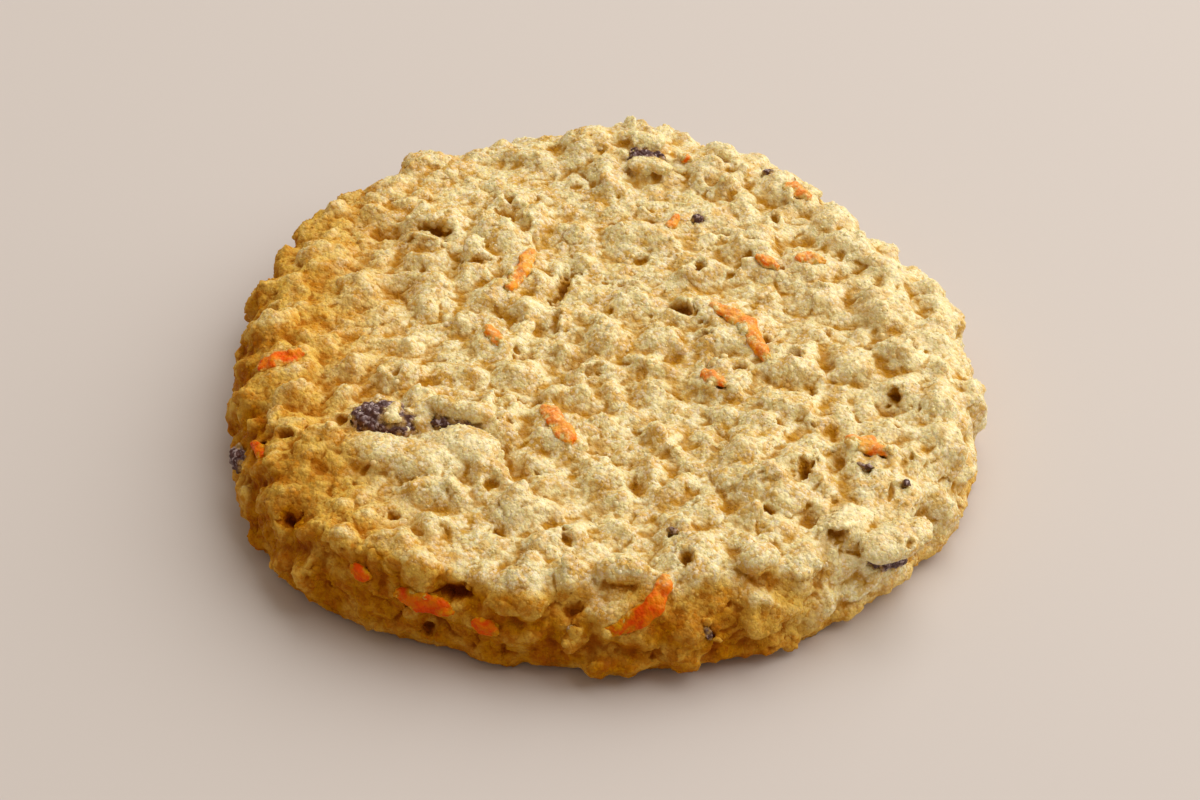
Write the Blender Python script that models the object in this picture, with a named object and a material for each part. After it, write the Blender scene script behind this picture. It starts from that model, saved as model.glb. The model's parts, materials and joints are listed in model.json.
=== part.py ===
# An oat cookie with grated carrot and raisins, shaped by hand and baked on a sheet.
# Metres, +Z up: it rests on z = 0, with its box centred on the origin.
# Sizes and places below are in millimetres, and each mesh is scaled once, when it is finished.

import math

import bmesh
import bpy
from mathutils import Vector, kdtree, noise
from mathutils.bvhtree import BVHTree

MM = 0.001

# The whole cookie: a lobed disc with a level top, a rounded rim and a foot tucked in a little.
RADIUS = 57.5
THICKNESS = 16.0
WIDEST_LEVEL = 4.0
TOP_SHARE = 0.84
FOOT_SHARE = 0.955
LOBES = (              # count, depth, bearing
    (2, 0.027, -73), (3, 0.026, -22), (4, 0.006, -38), (5, 0.016, 2), (7, 0.008, 122),
)

# The crust is a square grid wrapped over the disc. These shares of the grid's reach make
# the level top and the rounded rim, and what is left makes the foot.
GRID_CELLS = 190
RIM_STARTS = 0.74
FOOT_STARTS = 0.93
BELOW_GROUND = 1.3
RIM_ROUNDNESS = 0.9
CRUST_TRIANGLES = 6900

# Relief of the dough. Clumps are parted by grooves, and oat flakes lie on them.
SWELL_SIZE = 26.0
SWELL_HEIGHT = 0.8
WARP_SIZE = 9.0
WARP_REACH = 1.6
WARP_SEED = 7
CLUMP_SIZE = 8.5
CLUMP_HEIGHT = 2.1
CLUMP_GROOVE = 0.45    # share of a clump's size
FLAKE_SIZE = 4.1
FLAKE_HEIGHT = 1.0
FLAKE_REACH = 0.72     # share of a flake's size
UNEVENNESS = 0.45      # share by which clumps and flakes differ in height
DRAW_STEP = 5.3        # sends neighbours to unlike places in the noise
RELIEF_DATUM = 2.0     # taken off, so that the relief leaves the mean size as it is
FOOT_CALM = 5.0        # below this height the relief dies away
FOOT_RELIEF = 0.35     # share of it that is left on the ground

# Features that stand out, each at a point of the crust: x, y, z, radius, height.
LUMPS = (
    (21.5, -28.0, 16.0, 5.2, 1.7), (26.5, -32.5, 16.0, 4.2, 1.5), (25.6, -15.1, 16.0, 3.4, 1.3),
    (21.6, 46.7, 15.0, 3.6, 1.5), (2.5, 49.5, 14.0, 5.0, 1.9), (-24.2, -47.6, 13.0, 3.6, 1.5),
    (-34.2, -42.5, 13.0, 3.6, 1.5), (41.5, -38.5, 12.5, 4.6, 1.9), (-47.5, -9.5, 15.0, 4.0, 1.3),
    (-44.0, -26.0, 14.5, 4.6, 1.3), (52.0, -12.0, 13.0, 5.0, 1.0), (-3.5, -47.0, 15.0, 4.2, 1.2),
)
PITS = (
    (-14.0, 31.9, 16.0, 1.5, 2.2), (41.5, -12.4, 16.0, 1.3, 2.6), (28.6, -29.0, 16.0, 1.2, 2.4),
    (29.4, -37.0, 16.0, 1.3, 2.2), (5.5, -30.0, 16.0, 1.3, 1.8), (-14.6, -31.3, 16.0, 1.3, 1.8),
    (-42.0, -36.9, 13.2, 1.5, 2.2), (15.8, -15.3, 16.0, 1.2, 2.0), (-23.0, -52.3, 6.9, 1.5, 2.4),
    (-3.2, -4.0, 16.0, 1.2, 1.6), (2.6, -31.7, 16.0, 1.1, 1.6), (46.5, -33.0, 9.5, 2.2, 2.6),
    (50.5, 22.0, 13.0, 1.6, 1.8), (-28.0, 38.0, 15.0, 1.6, 1.6), (30.5, 24.5, 16.0, 1.4, 1.8),
    (-50.2, 9.0, 13.6, 2.0, 2.6),
)

# Cracks along the top: the points they pass, their half width and their depth.
CRACKS = (
    (((-36.5, -21.5), (-28.7, -22.6), (-23.8, -20.6), (-13.8, -22.6), (-10.8, -29.5)), 1.0, 2.2),
    (((-33.6, 27.7), (-26.8, 26.7), (-22.2, 25.0)), 1.0, 2.0),
    (((-7.3, 17.9), (-6.1, 13.1), (-8.4, 4.1), (-11.2, -2.9)), 0.9, 1.7),
    (((17.0, 38.5), (20.5, 41.5), (19.5, 45.5)), 0.9, 1.8),
    (((33.5, -17.5), (35.5, -25.0), (31.0, -28.5)), 0.9, 1.7),
)
# In front of the first crack the dough has risen as a plate.
PLATE_RISE = 1.5
PLATE_REACH = 15.0

# Grated carrot that shows: the points of the crust that a strip passes, and its width.
CARROTS = (
    (((-9.9, 21.8, 16.0), (-11.2, 16.5, 16.0), (-13.1, 11.9, 16.0)), 3.4),
    (((-16.4, 3.0, 16.0), (-13.2, -1.6, 16.0)), 2.8),
    (((16.4, 8.8, 16.0), (21.8, 4.6, 16.0), (24.8, -4.6, 16.0)), 3.6),
    (((28.3, 38.2, 16.0), (33.0, 35.4, 16.0)), 3.8),
    (((29.6, 19.9, 16.0), (34.6, 18.6, 16.0)), 3.4),
    (((23.6, 20.2, 16.0), (27.4, 17.2, 16.0)), 2.6),
    (((10.6, 26.8, 16.0), (12.4, 29.9, 16.0)), 2.6),
    (((15.2, -7.4, 16.0), (19.0, -10.2, 16.0)), 2.8),
    (((35.2, -22.0, 16.0), (41.8, -25.0, 16.0)), 4.2),
    (((1.0, -56.3, 9.2), (8.0, -54.6, 12.6), (9.6, -50.4, 15.4)), 4.0),
    (((-7.6, -14.8, 16.0), (-3.2, -23.1, 16.0)), 4.2),
    (((-28.4, -49.2, 10.6), (-19.6, -52.8, 9.6)), 3.8),
    (((-17.6, -53.6, 8.4), (-13.4, -54.6, 8.0)), 3.2),
    (((-34.4, -44.8, 12.2), (-31.4, -47.2, 11.0)), 2.6),
    (((-50.0, -19.6, 13.4), (-47.8, -24.2, 14.1)), 2.4),
    (((-49.4, -5.6, 14.8), (-42.6, -2.4, 16.0)), 4.6),
    (((13.0, 44.9, 16.0), (14.8, 43.9, 16.0)), 2.0),
    (((57.2, 18.0, 6.5), (58.2, 13.6, 6.0)), 2.4),
)
CARROT_THICKNESS = 2.2
CARROT_SUNK = 0.75
CARROT_RINGS = 6
CARROT_SIDES = 6
CARROT_END = 0.5       # share of the width that is left at both ends
CARROT_UNEVENNESS = 0.18
CARROT_TWIST = 0.35    # radians, at most
CARROT_CHANGE = 0.8    # how fast width and twist change from ring to ring

# Raisins: the point of the crust above each, the way it lies, its length, width and depth,
# and how far its middle is under the crust.
RAISINS = (
    ((-30.4, -17.4, 16.0), (1.0, -0.2, 0.0), 10.6, 7.4, 4.6, 1.3),
    ((-19.0, -18.6, 16.0), (1.0, -0.3, 0.0), 11.0, 3.4, 3.4, 1.6),
    ((41.6, -41.4, 9.4), (1.0, 0.7, -0.7), 9.0, 2.8, 3.4, 1.5),
    ((7.6, 45.2, 16.0), (1.0, -0.2, 0.0), 6.8, 3.4, 3.2, 1.3),
    ((26.4, 41.4, 15.6), (1.0, -0.6, 0.0), 2.8, 2.0, 2.2, 0.9),
    ((15.2, 29.6, 16.0), (1.0, 0.5, 0.0), 3.4, 2.0, 2.4, 1.0),
    ((-52.6, -18.2, 8.4), (0.2, -1.0, 0.0), 5.6, 2.8, 3.0, 1.2),
    ((37.8, -27.6, 16.0), (1.0, -0.4, 0.0), 3.8, 1.8, 2.2, 0.9),
    ((-3.6, -56.0, 9.6), (1.0, -0.4, -0.6), 2.6, 2.0, 2.2, 0.9),
    ((10.6, -41.3, 16.0), (1.0, -0.6, 0.0), 3.0, 2.2, 2.4, 1.0),
    ((15.6, -56.0, 8.6), (0.5, 0.0, -1.0), 3.4, 2.2, 2.4, 0.95),
    ((43.8, -30.6, 14.8), (1.0, -0.6, -0.6), 2.4, 2.0, 2.0, 0.75),
)
RAISIN_WRINKLE = 0.4
WRINKLE_SIZE = 2.1

# Round each piece the relief dies away into a shallow bed, and the dough stays clear of it.
BED_DEPTH = 0.25
BED_MARGIN = 0.3
BED_FADE = 1.7
CLEARANCE = 0.36

# Material name: colour, roughness.
FINISHES = {
    "baked_dough": ((0.62, 0.43, 0.19), 0.62),
    "carrot": ((0.80, 0.24, 0.03), 0.5),
    "raisin": ((0.05, 0.022, 0.02), 0.45),
}


def smooth(value):
    value = min(max(value, 0.0), 1.0)
    return value * value * (3 - 2 * value)


def outline(angle):
    lobes = sum(depth * math.cos(count * (angle - math.radians(bearing)))
                for count, depth, bearing in LOBES)
    return RADIUS * (1 + lobes)


def section(reach):
    # Share of the outline and height, from the middle of the top (0) to under the foot (1).
    if reach < RIM_STARTS:
        return TOP_SHARE * reach / RIM_STARTS, THICKNESS
    if reach < FOOT_STARTS:
        turn = math.pi / 2 * (reach - RIM_STARTS) / (FOOT_STARTS - RIM_STARTS)
        rise = (THICKNESS - WIDEST_LEVEL) * math.cos(turn) ** RIM_ROUNDNESS
        return TOP_SHARE + (1 - TOP_SHARE) * math.sin(turn), WIDEST_LEVEL + rise
    fall = (WIDEST_LEVEL + BELOW_GROUND) * (reach - FOOT_STARTS) / (1 - FOOT_STARTS)
    return 1 - (1 - FOOT_SHARE) * (fall / WIDEST_LEVEL) ** 2, WIDEST_LEVEL - fall


def wrap(across, along):
    # A place on the square grid, each way -1 to 1, becomes a point of the plain crust.
    reach = max(abs(across), abs(along))
    share, height = section(reach)
    if reach == 0:
        return Vector((0, 0, height))
    if abs(across) >= abs(along):
        angle = math.pi / 4 * along / across + (math.pi if across < 0 else 0)
    else:
        angle = math.pi / 2 - math.pi / 4 * across / along + (math.pi if along < 0 else 0)
    radius = share * outline(angle)
    return Vector((radius * math.cos(angle), radius * math.sin(angle), height))


def plain_crust():
    crust = bmesh.new()
    bmesh.ops.create_grid(crust, x_segments=GRID_CELLS, y_segments=GRID_CELLS, size=1)
    for vert in crust.verts:
        vert.co = wrap(vert.co.x, vert.co.y)
    rim = [edge for edge in crust.edges if edge.is_boundary]
    bmesh.ops.contextual_create(crust, geom=rim)
    bmesh.ops.recalc_face_normals(crust, faces=crust.faces)
    return crust


def nearest_cell(point, size):
    # Cells of about the given size: distances to the nearest middle and from there to the
    # border, both as shares of the size, and how tall this cell is.
    distances, middles = noise.voronoi(point / size)
    tallness = 1 + UNEVENNESS * noise.noise(middles[0] * DRAW_STEP)
    return distances[0], distances[1] - distances[0], tallness


def dough_relief(point):
    # Flat-topped clumps with grooves between them, domed flakes and a slow swell.
    warped = point + WARP_REACH * noise.noise_vector(point / WARP_SIZE)
    _, from_border, tallness = nearest_cell(warped, CLUMP_SIZE)
    clump = CLUMP_HEIGHT * tallness * smooth(from_border / CLUMP_GROOVE)
    from_middle, _, tallness = nearest_cell(warped, FLAKE_SIZE)
    flake = FLAKE_HEIGHT * tallness * (1 - smooth(from_middle / FLAKE_REACH))
    swell = SWELL_HEIGHT * noise.noise(point / SWELL_SIZE)
    return clump + flake + swell - RELIEF_DATUM


def bumps(point, places):
    # Each place adds a round bump that is as high and as wide as it says.
    total = 0.0
    for x, y, z, radius, height in places:
        away = (point - Vector((x, y, z))).length
        if away < 2 * radius:
            total += height * (1 - smooth(away / (2 * radius)))
    return total


def crack_distance(point, places):
    # Distance to the nearest run of the crack, and whether the point is in front of it.
    nearest = None
    for start, end in zip(places, places[1:]):
        start, end = Vector(start), Vector(end)
        run = end - start
        flat = Vector((point.x, point.y))
        share = min(max((flat - start).dot(run) / run.length_squared, 0), 1)
        away = (flat - start - share * run).length
        if nearest is None or away < nearest[0]:
            nearest = (away, run.cross(flat - start) < 0)
    return nearest


def crack_relief(point):
    if point.z < THICKNESS / 2:
        return 0.0
    total = 0.0
    for number, (places, half_width, depth) in enumerate(CRACKS):
        away, in_front = crack_distance(point, places)
        total -= depth * (1 - smooth(away / (2 * half_width)))
        if number == 0 and in_front:
            total += PLATE_RISE * (1 - smooth(away / PLATE_REACH))
    return total


def relieve(crust, pieces_tree):
    # Push the plain crust out or in, and level it where a piece lies in it.
    crust.normal_update()
    for vert in crust.verts:
        place = vert.co.copy()
        relief = dough_relief(place) + bumps(place, LUMPS) - bumps(place, PITS)
        relief += crack_relief(place)
        relief *= FOOT_RELIEF + (1 - FOOT_RELIEF) * smooth(place.z / FOOT_CALM)
        _, _, away = pieces_tree.find(place)
        clear = smooth((away - BED_MARGIN) / BED_FADE)
        vert.co = place + vert.normal * (relief * clear - BED_DEPTH * (1 - clear))


def stations_along(places, count, crust_tree):
    # Points and surface normals at even steps along a line of places laid on the crust.
    places = [Vector(place) for place in places]
    runs = [(b - a).length for a, b in zip(places, places[1:])]
    stations = []
    for step in range(count):
        left = sum(runs) * step / (count - 1)
        run = 0
        while run < len(runs) - 1 and left > runs[run]:
            left -= runs[run]
            run += 1
        place = places[run].lerp(places[run + 1], left / runs[run])
        on_crust, normal, _, _ = crust_tree.find_nearest(place)
        stations.append((on_crust, normal))
    return stations


def carrot_strip(number, places, width, crust_tree):
    # A flattened, slightly twisted strip that follows the crust and thins at both ends.
    strip = bmesh.new()
    stations = stations_along(places, CARROT_RINGS, crust_tree)
    rings = []
    for step, (place, normal) in enumerate(stations):
        before = stations[max(step - 1, 0)][0]
        after = stations[min(step + 1, CARROT_RINGS - 1)][0]
        sideways = (after - before).cross(normal).normalized()
        share = 2 * step / (CARROT_RINGS - 1) - 1
        taper = max(math.sqrt(1 - share * share), CARROT_END)
        draw = Vector((number * DRAW_STEP, step * CARROT_CHANGE, 0))
        uneven = 1 + CARROT_UNEVENNESS * noise.noise(draw)
        twist = CARROT_TWIST * noise.noise(draw + Vector((0, 0, DRAW_STEP)))
        half_width = width / 2 * taper * uneven
        half_depth = CARROT_THICKNESS / 2 * (1 + taper) / 2
        ring = []
        for side in range(CARROT_SIDES):
            angle = math.tau * (side + 0.5) / CARROT_SIDES
            flat = Vector((half_width * math.cos(angle), half_depth * math.sin(angle)))
            across = flat.x * math.cos(twist) - flat.y * math.sin(twist)
            up = flat.x * math.sin(twist) + flat.y * math.cos(twist) - CARROT_SUNK
            ring.append(strip.verts.new(place + sideways * across + normal * up))
        rings.append(ring)
    for ring, following in zip(rings, rings[1:]):
        for side in range(CARROT_SIDES):
            beside = (side + 1) % CARROT_SIDES
            strip.faces.new((ring[side], ring[beside], following[beside], following[side]))
    strip.faces.new(rings[0])
    strip.faces.new(rings[-1])
    bmesh.ops.recalc_face_normals(strip, faces=strip.faces)
    return strip


def raisin_body(number, place, lie, length, width, depth, sunk, crust_tree):
    # A wrinkled oval, laid along the crust.
    raisin = bmesh.new()
    bmesh.ops.create_icosphere(raisin, subdivisions=2, radius=1)
    on_crust, normal, _, _ = crust_tree.find_nearest(Vector(place))
    lengthways = Vector(lie)
    lengthways = (lengthways - normal * lengthways.dot(normal)).normalized()
    sideways = normal.cross(lengthways)
    centre = on_crust - normal * sunk
    draw = Vector((number * DRAW_STEP, 0, 0))
    for vert in raisin.verts:
        unit = vert.co.copy()
        body = Vector((unit.x * length / 2, unit.y * width / 2, unit.z * depth / 2))
        body += unit * RAISIN_WRINKLE * noise.noise(body / WRINKLE_SIZE + draw)
        vert.co = centre + lengthways * body.x + sideways * body.y + normal * body.z
    return raisin


def skin_points(bodies):
    # A tree of the corners of all the pieces, to tell how near one lies.
    places = [vert.co.copy() for body in bodies for vert in body.verts]
    tree = kdtree.KDTree(len(places))
    for number, place in enumerate(places):
        tree.insert(place, number)
    tree.balance()
    return tree


def grown(body):
    # A copy of the piece, pushed out all round by the clearance.
    larger = body.copy()
    larger.normal_update()
    moved = [vert.co + vert.normal * CLEARANCE for vert in larger.verts]
    for vert, place in zip(larger.verts, moved):
        vert.co = place
    return larger


def material(name):
    finish = bpy.data.materials.new(name)
    finish.use_nodes = True
    shader = finish.node_tree.nodes["Principled BSDF"]
    colour, roughness = FINISHES[name]
    shader.inputs["Base Color"].default_value = (*colour, 1)
    shader.inputs["Roughness"].default_value = roughness
    finish.diffuse_color = (*colour, 1)
    return finish


def to_object(name, body, finish=None, shaded_smooth=True):
    bmesh.ops.scale(body, vec=(MM, MM, MM), verts=body.verts)
    mesh = bpy.data.meshes.new(name)
    body.to_mesh(mesh)
    body.free()
    if shaded_smooth:
        mesh.shade_smooth()
    if finish:
        mesh.materials.append(finish)
    piece = bpy.data.objects.new(name, mesh)
    bpy.context.scene.collection.objects.link(piece)
    return piece


def ground_body():
    # Cuts the foot off level, so that the cookie rests on a flat base.
    ground = bmesh.new()
    bmesh.ops.create_cube(ground, size=1)
    size = 3 * RADIUS
    bmesh.ops.scale(ground, vec=(size, size, THICKNESS), verts=ground.verts)
    bmesh.ops.translate(ground, vec=(0, 0, -THICKNESS / 2), verts=ground.verts)
    return ground


def cut_dough(dough, cutters):
    thin = dough.modifiers.new("thin out", "DECIMATE")
    thin.ratio = CRUST_TRIANGLES / (2 * GRID_CELLS ** 2)
    pockets = bpy.data.collections.new("cutters")
    bpy.context.scene.collection.children.link(pockets)
    for cutter in cutters:
        bpy.context.scene.collection.objects.unlink(cutter)
        pockets.objects.link(cutter)
        cutter.hide_render = True
        cutter.display_type = "WIRE"
    cut = dough.modifiers.new("pockets", "BOOLEAN")
    cut.operation = "DIFFERENCE"
    cut.operand_type = "COLLECTION"
    cut.collection = pockets
    cut.solver = "EXACT"


def centre_on_origin(dough, pieces):
    # The dough reaches furthest each way, so its box gives the middle.
    bpy.context.view_layer.update()
    shape = dough.evaluated_get(bpy.context.evaluated_depsgraph_get()).to_mesh()
    middle = Vector((0, 0, 0))
    for axis in (0, 1):
        reach = [vert.co[axis] for vert in shape.vertices]
        middle[axis] = (min(reach) + max(reach)) / 2
    for piece in pieces:
        piece.location -= middle


def build_cookie():
    noise.seed_set(WARP_SEED)
    crust = plain_crust()
    crust_tree = BVHTree.FromBMesh(crust)
    dough_finish = material("baked_dough")
    carrot_finish = material("carrot")
    raisin_finish = material("raisin")
    bodies = []
    for number, (places, width) in enumerate(CARROTS, 1):
        strip = carrot_strip(number, places, width, crust_tree)
        bodies.append((f"carrot_{number:02d}", strip, carrot_finish))
    for number, (place, lie, length, width, depth, sunk) in enumerate(RAISINS, 1):
        raisin = raisin_body(number, place, lie, length, width, depth, sunk, crust_tree)
        bodies.append((f"raisin_{number:02d}", raisin, raisin_finish))
    relieve(crust, skin_points([body for _, body, _ in bodies]))
    cutters = [to_object("ground_cutter", ground_body(), shaded_smooth=False)]
    pieces = []
    for name, body, finish in bodies:
        cutters.append(to_object(f"{name}_pocket", grown(body), shaded_smooth=False))
        pieces.append(to_object(name, body, finish))
    dough = to_object("cookie_dough", crust, dough_finish)
    cut_dough(dough, cutters)
    centre_on_origin(dough, [dough, *pieces, *cutters])


for old in list(bpy.data.objects):
    bpy.data.objects.remove(old)
build_cookie()
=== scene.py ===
import json
import math

import bpy
import numpy as np
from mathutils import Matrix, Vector, kdtree, noise

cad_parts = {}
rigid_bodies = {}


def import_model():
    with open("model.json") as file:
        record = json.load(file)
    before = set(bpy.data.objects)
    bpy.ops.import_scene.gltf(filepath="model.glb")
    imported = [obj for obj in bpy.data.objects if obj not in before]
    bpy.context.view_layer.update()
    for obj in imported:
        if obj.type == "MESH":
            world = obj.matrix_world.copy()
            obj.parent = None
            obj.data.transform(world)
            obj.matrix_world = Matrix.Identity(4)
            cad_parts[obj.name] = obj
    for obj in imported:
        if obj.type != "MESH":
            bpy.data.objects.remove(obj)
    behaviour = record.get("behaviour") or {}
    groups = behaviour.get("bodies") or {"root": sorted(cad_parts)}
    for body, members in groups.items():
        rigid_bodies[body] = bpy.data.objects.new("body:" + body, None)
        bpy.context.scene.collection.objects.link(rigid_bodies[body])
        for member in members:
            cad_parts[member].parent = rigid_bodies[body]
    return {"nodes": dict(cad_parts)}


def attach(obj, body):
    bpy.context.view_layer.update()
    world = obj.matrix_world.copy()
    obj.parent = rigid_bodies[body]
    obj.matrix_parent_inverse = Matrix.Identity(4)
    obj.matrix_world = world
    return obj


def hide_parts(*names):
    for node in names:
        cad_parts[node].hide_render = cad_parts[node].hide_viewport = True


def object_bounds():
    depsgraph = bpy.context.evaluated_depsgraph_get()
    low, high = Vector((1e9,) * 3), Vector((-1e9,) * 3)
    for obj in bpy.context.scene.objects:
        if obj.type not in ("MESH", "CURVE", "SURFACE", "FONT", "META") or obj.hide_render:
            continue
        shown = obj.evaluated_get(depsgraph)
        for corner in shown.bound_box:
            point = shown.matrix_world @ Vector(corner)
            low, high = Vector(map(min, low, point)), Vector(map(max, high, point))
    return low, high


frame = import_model()
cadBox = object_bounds()

mm = 0.001
weldWithin = 0.002 * mm      # corners of a CAD mesh that are nearer than this are one
carrotNodes = sorted(n for n in frame["nodes"] if n.startswith("carrot"))
raisinNodes = sorted(n for n in frame["nodes"] if n.startswith("raisin"))
doughNode = "cookie_dough"


# small helpers

def deselectAll():
    if bpy.context.mode != "OBJECT":
        bpy.ops.object.mode_set(mode="OBJECT")
    bpy.ops.object.select_all(action="DESELECT")


def pick(*objs):
    deselectAll()
    for obj in objs:
        obj.select_set(True)
    bpy.context.view_layer.objects.active = objs[0]
    return objs[0]


def copyNode(node, name):
    # a CAD node's mesh is loose triangles, so the copy is merged before use
    source = frame["nodes"][node]
    obj = bpy.data.objects.new(name, source.data.copy())
    bpy.context.scene.collection.objects.link(obj)
    obj.data.name = name
    obj.data.materials.clear()
    pick(obj)
    bpy.ops.mesh.customdata_custom_splitnormals_clear()
    bpy.ops.object.mode_set(mode="EDIT")
    bpy.ops.mesh.select_all(action="SELECT")
    bpy.ops.mesh.remove_doubles(threshold=weldWithin)
    bpy.ops.object.mode_set(mode="OBJECT")
    bpy.ops.object.shade_smooth()
    return obj


def copyObject(obj, name):
    twin = obj.copy()
    twin.data = obj.data.copy()
    twin.name = twin.data.name = name
    bpy.context.scene.collection.objects.link(twin)
    return twin


def joinInto(target, *others):
    pick(target, *others)
    bpy.ops.object.join()
    return target


def addModifier(obj, kind, **values):
    # the modifier is applied at once
    pick(obj)
    modifier = obj.modifiers.new(kind.lower(), kind)
    for key, value in values.items():
        setattr(modifier, key, value)
    bpy.ops.object.modifier_apply(modifier=modifier.name)
    return obj


def lumpTexture(name, kind, size, **values):
    texture = bpy.data.textures.new(name, kind)
    texture.noise_scale = size
    for key, value in values.items():
        setattr(texture, key, value)
    return texture


def readPoints(mesh):
    places = np.empty(len(mesh.vertices) * 3, np.float32)
    mesh.vertices.foreach_get("co", places)
    return places.reshape(-1, 3)


def readNormals(mesh):
    normals = np.empty(len(mesh.vertices) * 3, np.float32)
    mesh.vertices.foreach_get("normal", normals)
    return normals.reshape(-1, 3)


def writePoints(mesh, places):
    mesh.vertices.foreach_set("co", places.astype(np.float32).ravel())
    mesh.update()


def writeAttribute(mesh, name, values):
    attribute = mesh.attributes.get(name) or mesh.attributes.new(name, "FLOAT", "POINT")
    attribute.data.foreach_set("value", values.astype(np.float32))


def averageOver(mesh, values, rounds):
    # values spread along the edges, a round at a time
    edges = np.empty(len(mesh.edges) * 2, np.int32)
    mesh.edges.foreach_get("vertices", edges)
    ends = edges.reshape(-1, 2)
    a, b = ends[:, 0], ends[:, 1]
    count = len(mesh.vertices)
    share = np.maximum(np.bincount(a, minlength=count) + np.bincount(b, minlength=count), 1)
    values = values.astype(np.float64).copy()
    for _ in range(rounds):
        for axis in range(values.shape[1]):
            line = values[:, axis]
            total = np.bincount(a, line[b], count) + np.bincount(b, line[a], count)
            values[:, axis] = 0.5 * line + 0.5 * total / share
    return values


def smoothstep(values, low, high):
    share = np.clip((values - low) / (high - low), 0, 1)
    return share * share * (3 - 2 * share)


def leanOf(mesh, rounds):
    # the way that the surface faces, without its small lumps
    lean = averageOver(mesh, readNormals(mesh), rounds)
    return lean / (np.linalg.norm(lean, axis=1, keepdims=True) + 1e-9)


def triangleCount(obj):
    return sum(len(face.vertices) - 2 for face in obj.data.polygons)


# the templates of what is scattered: modelled once each, then copied by the scatter

# how far corners are shaken, as a share of the lumps, and the lumps' size as a share of the longest side
templateNoise = {"shake": 0.3, "size": 0.35, "sizePerSeed": 0.07}


def makeTemplate(name, size, lump, seed, rounds):
    # an uneven rounded bit, its size in mm
    deselectAll()
    bpy.ops.mesh.primitive_ico_sphere_add(subdivisions=rounds, radius=0.5, location=(0, 0, 0))
    bit = bpy.context.object
    bit.name = bit.data.name = name
    bpy.ops.object.mode_set(mode="EDIT")
    bpy.ops.mesh.select_all(action="SELECT")
    bpy.ops.transform.resize(value=tuple(side * mm for side in size))
    shake = lump * mm * templateNoise["shake"]
    bpy.ops.transform.vertex_random(offset=shake, uniform=0, normal=1, seed=seed)
    bpy.ops.object.mode_set(mode="OBJECT")
    lumpSize = (templateNoise["size"] + templateNoise["sizePerSeed"] * seed) * max(size) * mm
    addModifier(
        bit, "DISPLACE", strength=lump * mm, texture_coords="LOCAL", mid_level=0.5,
        texture=lumpTexture(name, "CLOUDS", lumpSize),
    )
    bpy.ops.object.shade_smooth()
    return bit


def templateCollection(name, objs):
    group = bpy.data.collections.new(name)
    bpy.context.scene.collection.children.link(group)
    for obj in objs:
        for old in obj.users_collection:
            old.objects.unlink(obj)
        group.objects.link(obj)
    return group


# the scatter itself, a small Geometry Nodes tree whose instances are made real

def node(tree, kind, **values):
    made = tree.nodes.new(kind)
    for key, value in values.items():
        if key.startswith("in_"):
            made.inputs[int(key[3:])].default_value = value
        else:
            setattr(made, key, value)
    return made


def allowedFaces(tree, others, settings):
    # not on the flat base, and only so near to the other pieces
    link = tree.links.new
    normal = node(tree, "GeometryNodeInputNormal")
    parts = node(tree, "ShaderNodeSeparateXYZ")
    link(normal.outputs[0], parts.inputs[0])
    upward = node(tree, "FunctionNodeCompare", operation="GREATER_THAN", in_1=settings["lowestNormal"])
    link(parts.outputs[2], upward.inputs[0])
    around = node(tree, "GeometryNodeObjectInfo", transform_space="RELATIVE", in_0=others)
    near = node(tree, "GeometryNodeProximity", target_element="FACES")
    link(around.outputs["Geometry"], near.inputs[0])
    least, most = settings["away"]
    farther = node(tree, "FunctionNodeCompare", operation="GREATER_THAN", in_1=least * mm)
    closer = node(tree, "FunctionNodeCompare", operation="LESS_THAN", in_1=most * mm)
    link(near.outputs["Distance"], farther.inputs[0])
    link(near.outputs["Distance"], closer.inputs[0])
    between = node(tree, "FunctionNodeBooleanMath", operation="AND")
    link(farther.outputs[0], between.inputs[0])
    link(closer.outputs[0], between.inputs[1])
    both = node(tree, "FunctionNodeBooleanMath", operation="AND")
    link(upward.outputs[0], both.inputs[0])
    link(between.outputs[0], both.inputs[1])
    return both.outputs[0]


def turnedAtRandom(tree, rotation, settings):
    tilt = settings["tilt"]
    angles = node(tree, "FunctionNodeRandomValue", data_type="FLOAT_VECTOR")
    angles.inputs[0].default_value = (-tilt, -tilt, -math.pi)
    angles.inputs[1].default_value = (tilt, tilt, math.pi)
    angles.inputs["Seed"].default_value = settings["seed"] + 1
    asRotation = node(tree, "FunctionNodeEulerToRotation")
    tree.links.new(angles.outputs[0], asRotation.inputs[0])
    turned = node(tree, "FunctionNodeRotateRotation", rotation_space="LOCAL")
    tree.links.new(rotation, turned.inputs[0])
    tree.links.new(asRotation.outputs[0], turned.inputs[1])
    return turned.outputs[0]


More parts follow.
